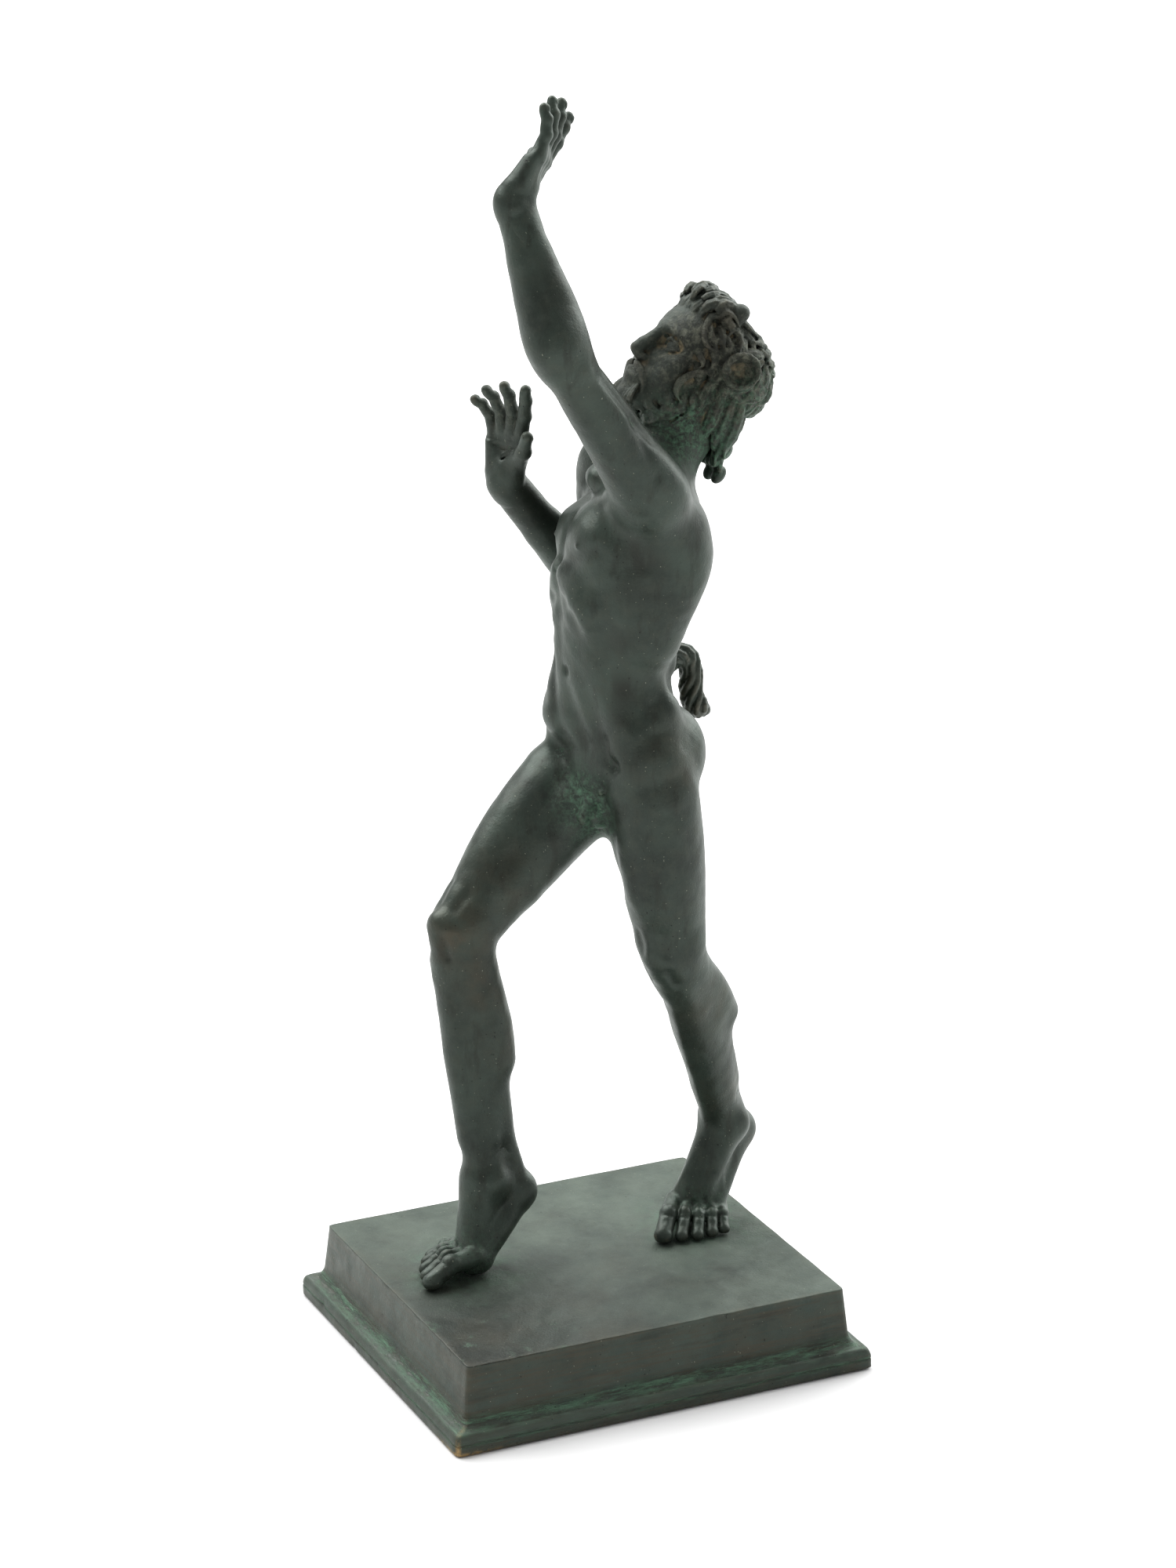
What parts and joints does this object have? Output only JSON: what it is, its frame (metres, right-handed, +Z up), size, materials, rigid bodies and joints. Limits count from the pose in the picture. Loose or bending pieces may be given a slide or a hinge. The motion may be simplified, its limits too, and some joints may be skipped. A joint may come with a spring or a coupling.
{
  "type": "faun statue",
  "caption": "Small bronze of a horned, bearded faun dancing on raised heels, one arm lifted, on a low moulded plinth.",
  "frame": {"origin": "middle of the plinth's underside, where it stands", "axes": "+Z up, the faun faces -Y, so its left side is +X"},
  "size_m": [0.0808, 0.0909, 0.2529],
  "materials": {
    "bronze_patina": "dark grey-green patina, satin, with brown rubbed places and pale green in the hollows",
    "bronze_plinth": "dark green patina with brushed flat faces, bare metal at the corners and pale green in the cove"
  },
  "bodies": {
    "root": {"faun_figure": "bronze_patina", "plinth": "bronze_plinth"}
  },
  "joints": []
}
